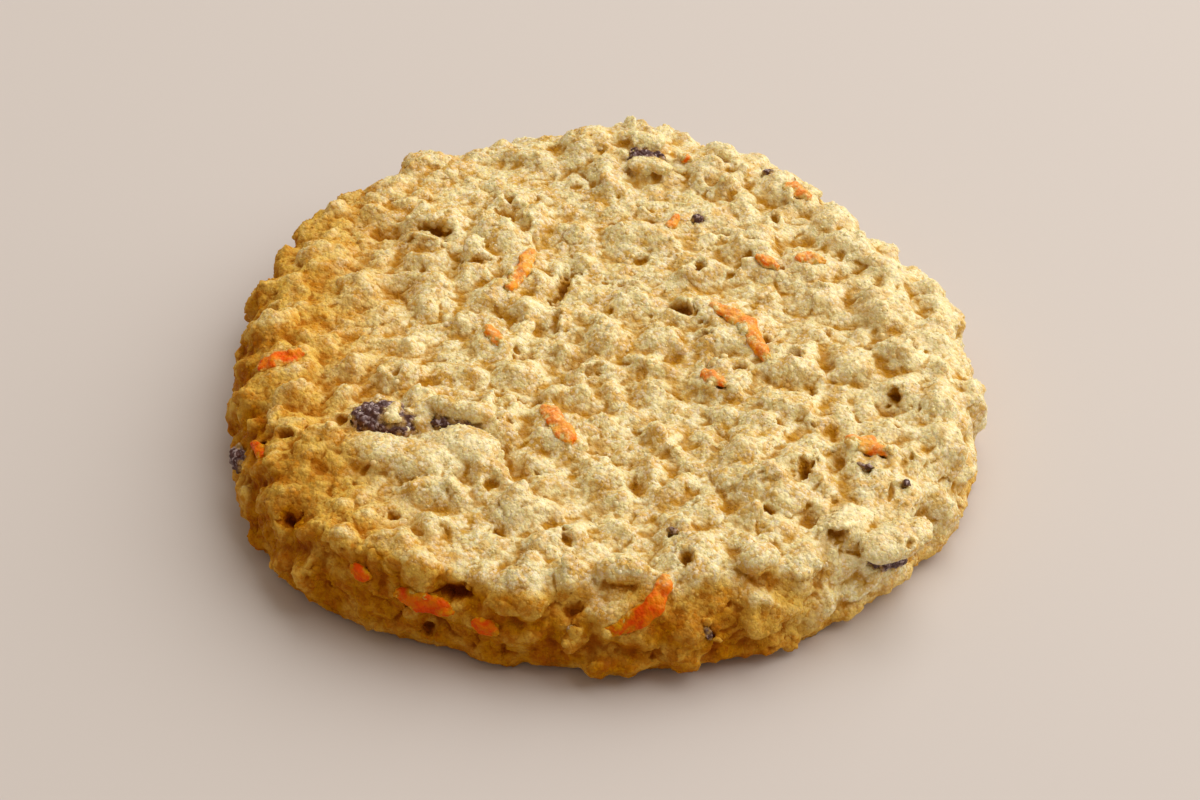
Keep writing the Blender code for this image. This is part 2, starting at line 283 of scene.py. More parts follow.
def scatter(surface, name, templates, others, settings):
    tree = bpy.data.node_groups.new(name, "GeometryNodeTree")
    tree.interface.new_socket("Geometry", in_out="INPUT", socket_type="NodeSocketGeometry")
    tree.interface.new_socket("Geometry", in_out="OUTPUT", socket_type="NodeSocketGeometry")
    link = tree.links.new
    start = node(tree, "NodeGroupInput")
    end = node(tree, "NodeGroupOutput")
    spread = node(tree, "GeometryNodeDistributePointsOnFaces", distribute_method="POISSON")
    spread.inputs["Distance Min"].default_value = settings["apart"] * mm
    spread.inputs["Density Max"].default_value = settings["perSquareMm"] / mm ** 2
    spread.inputs["Seed"].default_value = settings["seed"]
    link(start.outputs[0], spread.inputs["Mesh"])
    link(allowedFaces(tree, others, settings), spread.inputs["Selection"])
    size = node(tree, "FunctionNodeRandomValue", data_type="FLOAT")
    size.inputs[2].default_value, size.inputs[3].default_value = settings["scale"]
    size.inputs["Seed"].default_value = settings["seed"] + 2
    # sunk along the surface's normal, before they are placed
    drop = node(tree, "ShaderNodeVectorMath", operation="SCALE")
    link(spread.outputs["Normal"], drop.inputs[0])
    drop.inputs["Scale"].default_value = -settings["sunk"] * mm
    sink = node(tree, "GeometryNodeSetPosition")
    link(spread.outputs["Points"], sink.inputs["Geometry"])
    link(drop.outputs[0], sink.inputs["Offset"])
    source = node(tree, "GeometryNodeCollectionInfo", in_0=templates, in_1=True, in_2=True)
    place = node(tree, "GeometryNodeInstanceOnPoints", in_3=True)
    link(sink.outputs[0], place.inputs["Points"])
    link(source.outputs[0], place.inputs["Instance"])
    link(turnedAtRandom(tree, spread.outputs["Rotation"], settings), place.inputs["Rotation"])
    link(size.outputs[1], place.inputs["Scale"])
    # one random tone for each
    tone = node(tree, "FunctionNodeRandomValue", data_type="FLOAT")
    tone.inputs["Seed"].default_value = settings["seed"] + 3
    store = node(tree, "GeometryNodeStoreNamedAttribute", data_type="FLOAT", domain="INSTANCE")
    store.inputs["Name"].default_value = "tone"
    link(place.outputs[0], store.inputs["Geometry"])
    link(tone.outputs[1], store.inputs["Value"])
    real = node(tree, "GeometryNodeRealizeInstances")
    link(store.outputs[0], real.inputs[0])
    link(real.outputs[0], end.inputs[0])
    scattered = copyObject(surface, name)
    addModifier(scattered, "NODES", node_group=tree)
    print(name, triangleCount(scattered), "triangles")
    return scattered


def scatterBits(surface, name, others, settings):
    # three shapes of each kind, taken away once they are scattered
    shapes = templateCollection(name + "Shapes", [
        makeTemplate(f"{name}{n}", settings["size"], settings["lump"], n, settings["rounds"])
        for n in range(3)])
    bits = scatter(surface, name, shapes, others, settings)
    for shape in list(shapes.objects):
        bpy.data.objects.remove(shape)
    return bits


# colours are written as they look, and turned into Blender's linear ones here

def colour(red, green, blue):
    return tuple(((c / 255 + 0.055) / 1.055) ** 2.4 if c > 10 else c / 255 / 12.92
                 for c in (red, green, blue)) + (1.0,)


def newMaterial(name):
    made = bpy.data.materials.new(name)
    made.use_nodes = True
    tree = made.node_tree
    return made, tree, tree.nodes["Principled BSDF"]


def feed(tree, socket, value):
    if isinstance(value, bpy.types.NodeSocket):
        tree.links.new(value, socket)
    else:
        socket.default_value = value


def mixColours(tree, factor, first, second, blend="MIX"):
    mix = node(tree, "ShaderNodeMix", data_type="RGBA", blend_type=blend)
    for socket, value in ((mix.inputs[0], factor), (mix.inputs[6], first), (mix.inputs[7], second)):
        feed(tree, socket, value)
    return mix.outputs[2]


def mapRange(tree, value, low, high, to=(0, 1)):
    ranged = node(tree, "ShaderNodeMapRange", interpolation_type="SMOOTHSTEP")
    for socket, number in zip(list(ranged.inputs)[1:5], (low, high, *to)):
        socket.default_value = number
    tree.links.new(value, ranged.inputs[0])
    return ranged.outputs[0]


def calculate(tree, operation, first, second):
    made = node(tree, "ShaderNodeMath", operation=operation)
    feed(tree, made.inputs[0], first)
    feed(tree, made.inputs[1], second)
    return made.outputs[0]


def times(tree, first, second):
    return calculate(tree, "MULTIPLY", first, second)


def attributeOf(tree, name):
    return node(tree, "ShaderNodeAttribute", attribute_name=name).outputs["Fac"]


def noiseOf(tree, size):
    # size in mm
    place = node(tree, "ShaderNodeTexCoord")
    texture = node(tree, "ShaderNodeTexNoise")
    texture.inputs["Scale"].default_value = 1 / (size * mm)
    tree.links.new(place.outputs["Object"], texture.inputs["Vector"])
    return texture.outputs[0]


granuleBend = 0.3 * mm       # the granules' places are bent by so much, so that they aren't all round


def makeGrainGroup():
    # granules all over: one random tone for each, and their rounded height
    group = bpy.data.node_groups.new("sugarGrain", "ShaderNodeTree")
    group.interface.new_socket("Per Metre", in_out="INPUT", socket_type="NodeSocketFloat")
    for name in ("Tone", "Height"):
        group.interface.new_socket(name, in_out="OUTPUT", socket_type="NodeSocketFloat")
    start = node(group, "NodeGroupInput")
    end = node(group, "NodeGroupOutput")
    place = node(group, "ShaderNodeTexCoord")
    bend = node(group, "ShaderNodeTexNoise")
    group.links.new(place.outputs["Object"], bend.inputs["Vector"])
    group.links.new(start.outputs[0], bend.inputs["Scale"])
    bent = node(group, "ShaderNodeVectorMath", operation="MULTIPLY_ADD", in_1=(granuleBend,) * 3)
    group.links.new(bend.outputs["Color"], bent.inputs[0])
    group.links.new(place.outputs["Object"], bent.inputs[2])
    cells = node(group, "ShaderNodeTexVoronoi", feature="F1")
    group.links.new(bent.outputs[0], cells.inputs["Vector"])
    group.links.new(start.outputs[0], cells.inputs["Scale"])
    parts = node(group, "ShaderNodeSeparateColor")
    group.links.new(cells.outputs["Color"], parts.inputs[0])
    group.links.new(parts.outputs[0], end.inputs[0])
    dome = calculate(group, "SUBTRACT", 1.0, cells.outputs["Distance"])
    group.links.new(dome, end.inputs[1])
    return group


grainGroup = makeGrainGroup()


def grainOf(tree, size):
    # the tone and the height of granules so many mm apart
    placed = node(tree, "ShaderNodeGroup", node_tree=grainGroup)
    placed.inputs[0].default_value = 1 / (size * mm)
    return placed.outputs[0], placed.outputs[1]


def bumpFrom(tree, shader, height, finish):
    bump = node(tree, "ShaderNodeBump")
    bump.inputs["Strength"].default_value = finish["bumpStrength"]
    bump.inputs["Distance"].default_value = finish["bumpDepth"] * mm
    tree.links.new(height, bump.inputs["Height"])
    tree.links.new(bump.outputs[0], shader.inputs["Normal"])


# the finish of the dough, some of which clings to the toppings

crustFinish = {
    "cream": colour(240, 223, 160),
    "gold": colour(217, 172, 78),
    # the amber and the deep colour are painted shade, for the low places, pits and hollows
    "amberShade": colour(182, 124, 14),
    "toastingAndShade": (0.88, 0.65, 0.24, 1),    # this and the next multiply what lies under them, for browning and painted shade
    "browningAndShade": (0.6, 0.28, 0.0, 1),
    "deepShade": colour(122, 66, 6),
    "sugar": colour(254, 246, 224),
    "pale": colour(252, 236, 184),
    "specular": 0.04,
    "roughness": (0.7, 0.5),             # of the dullest and the brightest granules
    "moist": (0.75, 0.04),               # coat on pale dough and on browned or painted-shaded dough
    "moistRoughness": 0.27,
    "subsurface": 0.3,
    "subsurfaceRadius": (1.0, 0.8, 0.35),
    "skinGlow": 1.1,                     # how deep light goes into the crust and into loose bits, mm
    "looseGlow": 0.4,
    "coarseGrain": 0.8,                  # granules of two sizes, mm, and the height of the coarse ones
    "coarseHeight": 2.8,
    "fineGrain": 0.42,
    "finestNoise": 0.35,
    "bumpStrength": 0.62,
    "bumpDepth": 0.2,                    # mm
}


# carrot

carrotFinish = {
    "orange": colour(240, 108, 0),
    "pale": colour(250, 152, 24),
    "golden": colour(238, 170, 30),
    "peachGlint": colour(255, 214, 156),
    "frostedAndLit": colour(255, 202, 116),    # where a strip lies open on the top: sugary frosting and painted light
    "frostedAndLitShare": 0.36,
    "glitterShare": 0.6,
    "browningAndShade": (0.84, 0.48, 0.01, 1),
    "roughness": 0.36,
    "specular": 0.08,
    "subsurface": 0.2,
    "subsurfaceRadius": (1.0, 0.5, 0.15),
    "glow": 0.8,                         # mm, like the next two
    "grain": 0.4,
    "finestNoise": 0.6,
    "bumpStrength": 0.6,
    "bumpDepth": 0.22,                   # mm
}
strips = {
    "levels": 3,
    "swell": -0.1,               # how far they fill their pockets, mm
    "uneven": 1.3,
    "unevenSize": 2.0,
    "facingRounds": 12,          # the way they face is averaged so often
}


def carrotMaterial():
    made, tree, shader = newMaterial("gratedCarrot")
    tone, dome = grainOf(tree, carrotFinish["grain"])
    base = mixColours(tree, mapRange(tree, noiseOf(tree, 1.3), 0.4, 0.68),
                      carrotFinish["orange"], carrotFinish["pale"])
    base = mixColours(tree, mapRange(tree, noiseOf(tree, 2.4), 0.52, 0.66, (0, 0.7)),
                      base, carrotFinish["golden"])
    toasted = attributeOf(tree, "toasted")
    # strips facing up, out of the browning and painted shade, are paler: frosting and painted light; the
    # peach there is painted glints
    openness = times(tree, mapRange(tree, attributeOf(tree, "upward"), 0.45, 0.95),
                     mapRange(tree, toasted, 0.0, 0.4, (1, 0)))
    frostingAndLight = times(tree, openness, carrotFinish["frostedAndLitShare"])
    base = mixColours(tree, frostingAndLight, base, carrotFinish["frostedAndLit"])
    glitter = times(tree, openness, mapRange(tree, tone, 0.55, 0.95, (0, carrotFinish["glitterShare"])))
    base = mixColours(tree, glitter, base, carrotFinish["peachGlint"])
    # dough clinging along the edges
    clinging = mixColours(tree, mapRange(tree, tone, 0.2, 0.9), crustFinish["gold"], crustFinish["cream"])
    base = mixColours(tree, attributeOf(tree, "buried"), base, clinging)
    # browned and painted as shaded, like the dough beside it
    brownedAndShaded = mixColours(tree, mapRange(tree, toasted, 0.0, 0.6), (1, 1, 1, 1), carrotFinish["browningAndShade"])
    base = mixColours(tree, 1.0, base, brownedAndShaded, "MULTIPLY")
    tree.links.new(base, shader.inputs["Base Color"])
    shader.inputs["Roughness"].default_value = carrotFinish["roughness"]
    shader.inputs["Specular IOR Level"].default_value = carrotFinish["specular"]
    shader.inputs["Subsurface Weight"].default_value = carrotFinish["subsurface"]
    shader.inputs["Subsurface Radius"].default_value = carrotFinish["subsurfaceRadius"]
    shader.inputs["Subsurface Scale"].default_value = carrotFinish["glow"] * mm
    height = calculate(tree, "ADD", dome, noiseOf(tree, carrotFinish["finestNoise"]))
    bumpFrom(tree, shader, height, carrotFinish)
    return made


def makeStrips():
    finish = carrotMaterial()
    for number, name in enumerate(carrotNodes):
        strip = copyNode(name, f"carrotStrip{number + 1:02d}")
        addModifier(strip, "SUBSURF", levels=strips["levels"], render_levels=strips["levels"])
        addModifier(strip, "DISPLACE", strength=strips["swell"] * mm, mid_level=0.0)
        addModifier(
            strip, "DISPLACE", strength=strips["uneven"] * mm, mid_level=0.5, texture_coords="LOCAL",
            texture=lumpTexture(f"uneven{number}", "CLOUDS", strips["unevenSize"] * mm, noise_depth=2),
        )
        facing = averageOver(strip.data, readNormals(strip.data), strips["facingRounds"])
        writeAttribute(strip.data, "upward", facing[:, 2])
        strip.data.materials.append(finish)
        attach(strip, "root")
        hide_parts(name)
        pieces.append(strip)


# raisins

raisinFinish = {
    "skin": colour(72, 32, 28),
    "dusty": colour(130, 84, 76),
    "sugar": colour(190, 168, 170),
    "doughShare": 0.5,           # how much dough clings to it where the crust is near
    "roughness": 0.42,
    "grain": 0.4,                # mm, like the next one
    "finestNoise": 0.8,
    "bumpStrength": 0.7,
    "bumpDepth": 0.2,            # mm
}
# raisins shorter than smallUnder get less of everything; all in mm but the levels
wrinkles = {"levels": 3, "size": 1.5, "swell": 0.2, "depth": 1.1,
            "smallUnder": 4.5, "smallSwell": -0.4, "smallDepth": 0.6}


def raisinMaterial():
    made, tree, shader = newMaterial("raisinSkin")
    tone, dome = grainOf(tree, raisinFinish["grain"])
    base = mixColours(tree, mapRange(tree, noiseOf(tree, 1.1), 0.48, 0.72, (0, 0.6)),
                      raisinFinish["skin"], raisinFinish["dusty"])
    base = mixColours(tree, mapRange(tree, tone, 0.7, 0.9, (0, 0.75)), base, raisinFinish["sugar"])
    clinging = times(tree, attributeOf(tree, "buried"), raisinFinish["doughShare"])
    base = mixColours(tree, clinging, base, crustFinish["gold"])
    tree.links.new(base, shader.inputs["Base Color"])
    shader.inputs["Roughness"].default_value = raisinFinish["roughness"]
    height = calculate(tree, "ADD", dome, noiseOf(tree, raisinFinish["finestNoise"]))
    bumpFrom(tree, shader, height, raisinFinish)
    return made


def makeRaisins():
    finish = raisinMaterial()
    for number, name in enumerate(raisinNodes):
        raisin = copyNode(name, f"raisin{number + 1:02d}")
        addModifier(raisin, "SUBSURF", levels=wrinkles["levels"], render_levels=wrinkles["levels"])
        if max(raisin.dimensions) < wrinkles["smallUnder"] * mm:
            swell, depth = wrinkles["smallSwell"], wrinkles["smallDepth"]
        else:
            swell, depth = wrinkles["swell"], wrinkles["depth"]
        addModifier(raisin, "DISPLACE", strength=swell * mm, mid_level=0.0)
        addModifier(
            raisin, "DISPLACE", strength=depth * mm, mid_level=0.35, texture_coords="LOCAL",
            texture=lumpTexture(f"wrinkle{number}", "CLOUDS", wrinkles["size"] * mm,
                                noise_type="HARD_NOISE", noise_depth=1),
        )
        raisin.data.materials.append(finish)
        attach(raisin, "root")
        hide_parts(name)
        pieces.append(raisin)


pieces = []
makeStrips()
makeRaisins()
print("toppings done", sum(triangleCount(p) for p in pieces), "triangles, the largest",
      max(triangleCount(p) for p in pieces))


# dough: the solid, thinned a little, with lumps laid on and all of it made one skin

dough = {
    "coreVoxel": 0.5,            # mm
    "coreSmooth": 3,
    "shrink": 0.35,              # room for what the grains and lumps add
    "skinVoxel": 0.34,
    "skinSmooth": 2,
    "mostTriangles": 196000,
    "granule": 1.0,              # rounded granules, mm
    "granuleRise": 0.28,
}


def toppingsTogether():
    # one copy of all strips and raisins, to measure the way to them and to carry crumbs
    copies = [copyObject(piece, "near_" + piece.name) for piece in pieces]
    return joinInto(*copies)


def treeOf(places):
    tree = kdtree.KDTree(len(places))
    for index, place in enumerate(places.tolist()):
        tree.insert(place, index)
    tree.balance()
    return tree


def standing(mesh, rounds):
    # how far each point stands over the surface averaged round it, in mm
    places = readPoints(mesh)
    mean = averageOver(mesh, places, rounds)
    return ((places - mean) * readNormals(mesh)).sum(1) / mm


# clumps of two sizes: cells with rounded tops and, here and there, a groove between, in mm

bigClumps = {"size": 5.6, "warp": 0.28, "warpSize": 3.6, "rise": 0.22, "groove": 0.5, "width": 0.26,
             "openSize": 4.5, "open": 0.3, "seed": 5}
smallClumps = {"size": 2.7, "warp": 0.22, "warpSize": 2.0, "rise": 0.1, "groove": 0.12, "width": 0.28,
               "openSize": 3.0, "open": 0.5, "seed": 6}
clumpMiddle = 0.4                # how much higher the middles are than the level, as a share of the rise
clumpPatches = 2.4               # how sharply the patches with grooves begin
clumpFoot = (0.4, 2.5)           # the clumps fade in between these heights, mm


def clump(mesh, cells):
    # the cells are bent so that no edge is straight, by the same vectors each run
    noise.seed_set(cells["seed"])
    places = readPoints(mesh) / mm
    rise = np.empty(len(places))
    for index, place in enumerate(places.tolist()):
        spot = Vector(place)
        bent = spot / cells["size"] + noise.noise_vector(spot / cells["warpSize"]) * cells["warp"]
        near = noise.voronoi(bent)[0]
        edge = min((near[1] - near[0]) / cells["width"], 1)
        patch = min(max(cells["open"] + clumpPatches * noise.noise(spot / cells["openSize"]), 0), 1)
        groove = cells["groove"] * patch * (1 - edge) ** 2
        rise[index] = cells["rise"] * (clumpMiddle - near[0] ** 2) - groove
    calm = smoothstep(places[:, 2], *clumpFoot)
    lean = averageOver(mesh, readNormals(mesh), 8)
    writePoints(mesh, (places + lean * (rise * calm)[:, None]) * mm)


# what already lies low goes lower, in mm

deepening = {"from": 0.3, "most": 0.8, "gain": 0.15, "foot": (0.5, 3)}


def deepenHollows(mesh):
    low = np.clip(-standing(mesh, 14) - deepening["from"], 0, deepening["most"])
    places = readPoints(mesh)
    calm = smoothstep(places[:, 2] / mm, *deepening["foot"])
    writePoints(mesh, places - readNormals(mesh) * (low * calm * deepening["gain"] * mm)[:, None])


# small pits of many sizes with ragged edges, in mm but the shares

pits = {
    "apart": 4.4,
    "radius": 0.5,
    "spread": 0.5,
    "least": 0.6,
    "shuffle": 13.7,             # turns a cell's place into a radius of its own
    "depth": 0.6,
    "raggedSize": 1.3,
    "ragged": 0.75,
    "slope": 0.7,                # share of the radius that slopes
    "foot": (1, 4),
    "shade": 0.7,                # how much painted shade they get, beside the deeper hollows
    "seed": 9,
}


def makePits(mesh):
    # gives back where they are, as the strength of their painted shade
    noise.seed_set(pits["seed"])
    places = readPoints(mesh) / mm
    drop = np.zeros(len(places))
    for index, place in enumerate(places.tolist()):
        spot = Vector(place)
        bent = (spot + noise.noise_vector(spot / pits["raggedSize"]) * pits["ragged"]) / pits["apart"]
        far, middles, *_ = noise.voronoi(bent)
        radius = pits["radius"] + pits["spread"] * noise.cell(middles[0] * pits["shuffle"])
        if radius > pits["least"] and far[0] * pits["apart"] < radius:
            drop[index] = 1 - far[0] * pits["apart"] / radius
    drop = smoothstep(drop, 0, pits["slope"]) * smoothstep(places[:, 2], *pits["foot"])
    lean = averageOver(mesh, readNormals(mesh), 8)
    writePoints(mesh, (places - lean * drop[:, None] * pits["depth"]) * mm)
    return drop * pits["shade"]


# the deeper hollows: middle, half length, half width and depth in mm, and bearing in degrees

hollows = {
    "middle": (
        ((-6.4, 13.9, 16), 3.0, 0.9, 2.4, 66), ((-8.5, 4.2, 16), 2.4, 0.8, 1.2, 78),
        ((4.3, 13.0, 16), 3.0, 0.7, 1.8, -40), ((5.0, 18.9, 16), 1.2, 0.6, 1.2, 23),
        ((13.9, 16.0, 16), 1.1, 0.8, 1.6, 74), ((10.3, 6.7, 16), 2.7, 0.7, 1.9, -36),
        ((12.6, 0.6, 16), 1.5, 0.6, 1.8, -14), ((15.4, -3.8, 16), 1.8, 0.9, 1.7, 74),
        ((1.7, 2.4, 16), 1.2, 0.6, 1.5, 67), ((-1.7, -8.2, 16), 1.4, 0.7, 1.0, 5),
        ((-10.9, -13.8, 16), 1.2, 0.6, 1.1, -6), ((-15.2, -12.3, 16), 1.6, 0.7, 1.6, 74),
        ((19.2, -6.9, 16), 1.0, 0.6, 1.4, 0), ((-15.9, -19.5, 16), 0.8, 0.6, 1.5, 84),
        ((24.3, 1.8, 16), 1.8, 1.1, 1.7, 56),
    ),
    "back": (
        ((20.4, 19.3, 16), 1.2, 0.8, 1.3, 32), ((-14.8, 29.2, 16), 1.1, 0.9, 2.2, 39),
        ((-14.8, 34.1, 16), 0.7, 0.7, 1.5, 40), ((-25.5, 24.7, 16), 2.2, 0.8, 1.8, -22),
        ((-19.0, 17.6, 16), 2.5, 0.6, 1.3, 11), ((5.8, 33.3, 16), 1.9, 0.6, 1.3, -21),
        ((-3.5, 37.2, 16), 0.9, 0.5, 1.2, 29), ((17.4, 26.4, 16), 1.3, 0.4, 1.2, 0),
        ((25.4, 28.9, 16), 1.3, 0.6, 1.3, -70),
    ),
    "right": (
        ((27.2, -4.2, 16), 1.5, 0.8, 2.2, -52), ((33.1, 2.3, 16), 0.7, 0.6, 1.1, -28),
        ((44.6, -0.8, 16), 1.6, 0.8, 1.7, -49), ((41.0, -14.1, 16), 1.0, 0.9, 2.2, 75),
        ((41.5, -18.4, 16), 1.1, 0.6, 1.2, -85), ((29.1, -10.6, 16), 0.9, 0.6, 1.2, -90),
        ((25.7, -19.0, 16), 0.7, 0.6, 1.2, 17),
    ),
    "frontRight": (
        ((27.1, -30.8, 16), 1.9, 0.9, 1.8, 78), ((23.1, -37.8, 16), 1.0, 0.6, 1.6, -34),
        ((32.1, -46.5, 15), 1.5, 1.1, 1.6, 0),
    ),
    "left": (
        ((-20.7, -32.4, 16), 0.7, 0.6, 1.4, 0), ((-15.9, -33.1, 16), 1.0, 0.7, 1.2, 7),
        ((-29.9, -39.5, 16), 1.0, 0.6, 1.5, 0), ((-38.3, -19.5, 16), 0.7, 0.6, 1.3, 0),
        ((-45.5, -22.3, 15), 1.0, 0.6, 1.3, -8),
    ),
    "front": (
        ((-14.4, -42.0, 16), 1.1, 0.8, 1.4, -55), ((-5.6, -44.5, 16), 1.3, 0.7, 1.5, -74),
        ((10.7, -48.6, 15), 1.2, 0.8, 1.7, -79),
    ),
    "wall": (
        ((-21.5, -52.2, 13), 2.2, 1.0, 2.2, -20), ((-24.5, -50.9, 4.4), 0.8, 0.8, 1.8, 0),
        ((-4.9, -55.0, 13), 1.1, 0.9, 1.6, 0), ((-44.2, -35.1, 10.5), 1.3, 0.9, 1.6, -40),
    ),
}
hollowShape = {
    "soft": 0.35,                # added to both half widths, mm
    "through": 3.5,              # points this far in or out from the middle's level stay, mm
    "coarseSize": 1.5,           # the edge is ragged at two sizes, mm
    "fineSize": 0.6,
    "fineShare": 0.6,
    "ragged": 0.6,
    "slope": (0.2, 1.2),         # shares of the way out
    "reach": 2,                  # nothing farther out than so many half widths is moved
    "darkest": 1.6,              # depth at which its painted shade is darkest, mm
}
worn = {"place": (3.4, 51.4, 18.3), "radius": 4.0, "down": 2.2}    # the one sharp peak, at the back


def raggedness(place):
    spot = Vector(place)
    fine = noise.noise(spot / hollowShape["fineSize"])
    return noise.noise(spot / hollowShape["coarseSize"]) + hollowShape["fineShare"] * fine


def carve(mesh, hollowed):
    # each hollow is an uneven ellipse pressed in across the surface
    places = readPoints(mesh) / mm
    lean = leanOf(mesh, 14)
    for middle, length, width, depth, bearing in (entry for group in hollows.values() for entry in group):
        nearest = ((places - middle) ** 2).sum(1).argmin()
        inward = lean[nearest].copy()
        turn = math.radians(bearing)
        along = np.cross(np.cross(inward, (math.cos(turn), math.sin(turn), 0)), inward)
        along /= np.linalg.norm(along)
        offset = places - places[nearest]
        reach = np.hypot(offset @ along / (length + hollowShape["soft"]),
                         offset @ np.cross(inward, along) / (width + hollowShape["soft"]))
        within = np.abs(offset @ inward) < hollowShape["through"]
        close = np.nonzero((reach < hollowShape["reach"]) & within)[0]
        ragged = np.array([raggedness(place) for place in places[close].tolist()])
        share = 1 - smoothstep(reach[close] * (1 + hollowShape["ragged"] * ragged), *hollowShape["slope"])
        places[close] -= inward * (share * depth)[:, None]
        hollowed[close] = np.maximum(hollowed[close], share * min(1, depth / hollowShape["darkest"]))
    apart = np.linalg.norm(places - worn["place"], axis=1)
    places[:, 2] -= worn["down"] * (1 - smoothstep(apart, 0.2, worn["radius"]))
    writePoints(mesh, places * mm)


# dough drawn up to the strips and raisins that it holds, in mm but the shares

pockets = {
    "reach": 1.3,                # dough this near to a strip or raisin is drawn up to it
    "pull": 0.85,
    "facing": -0.2,              # not where the dough faces away from it by more than this
    "fade": 2.2,
    "lap": 0.75,                 # how far it laps over their edges
    "lapOutward": 0.6,
    "lapSize": 1.3,              # it laps unevenly, at this size, by this much and more or less by that
    "lapShare": 0.45,
    "lapSpread": 1.3,
}


def closePockets(mesh, toppings):
    tree = treeOf(readPoints(toppings.data) / mm)
    places = readPoints(mesh) / mm
    normals = readNormals(mesh)
    outward = averageOver(mesh, normals, 14)
    moves = np.zeros((len(places), 3))
    for index, place in enumerate(places.tolist()):
        near, _, far = tree.find(place)
        way = np.array(near) - place
        if far < pockets["reach"] and way @ normals[index] > pockets["facing"] * far:
            fade = min(1, pockets["fade"] * (1 - far / pockets["reach"]))
            uneven = pockets["lapSpread"] * noise.noise(Vector(place) / pockets["lapSize"])
            lap = pockets["lap"] * min(max(pockets["lapShare"] + uneven, 0), 1)
            over = way / (far + 0.05) * lap + outward[index] * pockets["lapOutward"] * lap
            moves[index] = (way * pockets["pull"] + over) * fade
    writePoints(mesh, (places + averageOver(mesh, moves, 2)) * mm)


# pressed level underneath, and no higher than the solid's own lumps allow

pressedUnder = 0.35              # mm
headroom = 0.4                   # how far lumps may stand over the CAD box, mm


def holdInBox(mesh):
    places = readPoints(mesh)
    places[:, 2] = np.where(places[:, 2] < pressedUnder * mm, 0, places[:, 2])
    top = cadBox[1][2]
    room = headroom * mm
    over = np.maximum(places[:, 2] - top, 0)
    places[:, 2] = np.minimum(places[:, 2], top) + room * (1 - np.exp(-over / room))
    writePoints(mesh, places)


def keepOverFloor(mesh):
    places = readPoints(mesh)
    places[:, 2] = np.maximum(places[:, 2], 0)
    writePoints(mesh, places)


# where the dough is browned, and painted shade on the side away from the lamp: strongest at the left and the
# front, and faint on the right
# a pair is where a mask begins and where it is full, in mm; a direction is a share of x and of y

browningAndShade = {
    "rimLean": (0.1, 0.55),      # how far the surface leans over
    "rimPlace": (35, 45),        # from the middle
    # the side turned away from this direction, about where the lamp stands, is browner: browning and painted
    # shade
    "sideDirection": (0.9, 0.45),
    "side": (-12, 16),
    "sideLeast": 0.16,
    # the left and the front-left browner still: browning and painted shade
    "left": (15, 52),
    "leftShare": 0.54,
    "leftFront": (52, 84),
    "leftFrontShare": 0.22,
    "foot": (-7, -1),            # under the middle of the wall
    "footShare": 0.3,
    "crest": (0.1, 0.9),         # lumps that stand out of the wall are paler
    "crestHeight": (4, 9),
    "crestShare": 0.4,
    # paler towards the lamp: a paler bake there and painted light
    "palerDirection": (0.8, 0.35),
    "paler": (5, 45),
    "palerShare": 0.46,
    "untouched": 0.3,            # what is browned or painted as shaded more than this is never made paler
}
# zones made paler: x, y and radius in mm, and how much
paleZones = {
    "fold": (-25, -27, 14, 0.6),
    "behindFront": (-8, -40, 13, 0.5),
    "frontRight": (34, -42, 15, 0.5),
    "onLargeRaisin": (-31, -21, 4, 3.0),
}


def paintMasks(mesh):
    places = readPoints(mesh) / mm
    x, y, height = places.T
    wide = standing(mesh, 50)
    writeAttribute(mesh, "fineStanding", standing(mesh, 4))
    writeAttribute(mesh, "midStanding", standing(mesh, 16))
    writeAttribute(mesh, "wideStanding", wide)
    rim = smoothstep(1 - leanOf(mesh, 70)[:, 2], *browningAndShade["rimLean"])
    rim = rim * smoothstep(np.hypot(x, y), *browningAndShade["rimPlace"])
    # painted shade on the side away from the lamp, over the browning at the rim
    least = browningAndShade["sideLeast"]
    turned = x * browningAndShade["sideDirection"][0] + y * browningAndShade["sideDirection"][1]
    side = smoothstep(-turned, *browningAndShade["side"]) * (1 - least) + least
    # browner at the left and the front-left, partly painted shade
    left = smoothstep(-x, *browningAndShade["left"]) * browningAndShade["leftShare"]
    left += smoothstep(-x - y, *browningAndShade["leftFront"]) * browningAndShade["leftFrontShare"]
    foot = smoothstep(-height, *browningAndShade["foot"]) * browningAndShade["footShare"]
    crest = smoothstep(wide, *browningAndShade["crest"]) * smoothstep(height, *browningAndShade["crestHeight"])
    brownedAndShaded = np.clip(rim * side + left + foot * rim, 0, 1) * (1 - crest * browningAndShade["crestShare"])
    # paler towards the lamp, partly painted light, and in the listed zones
    turned = x * browningAndShade["palerDirection"][0] + y * browningAndShade["palerDirection"][1]
    paler = smoothstep(turned, *browningAndShade["paler"]) * browningAndShade["palerShare"]
    for zoneX, zoneY, radius, share in paleZones.values():
        apart = np.hypot(x - zoneX, y - zoneY)
        paler = np.maximum(paler, share * (1 - smoothstep(apart, 0, radius)))
    untouched = browningAndShade["untouched"]
    lightened = brownedAndShaded - paler * (1 - brownedAndShaded / untouched)
    writeAttribute(mesh, "toasted", np.where(brownedAndShaded > untouched, brownedAndShaded, lightened))


# lumps and bits of one kind each: size, lump, apart and so on in mm, tilt in radians;
# away is the least and the most distance from the toppings, or for edgeLumps from the crust

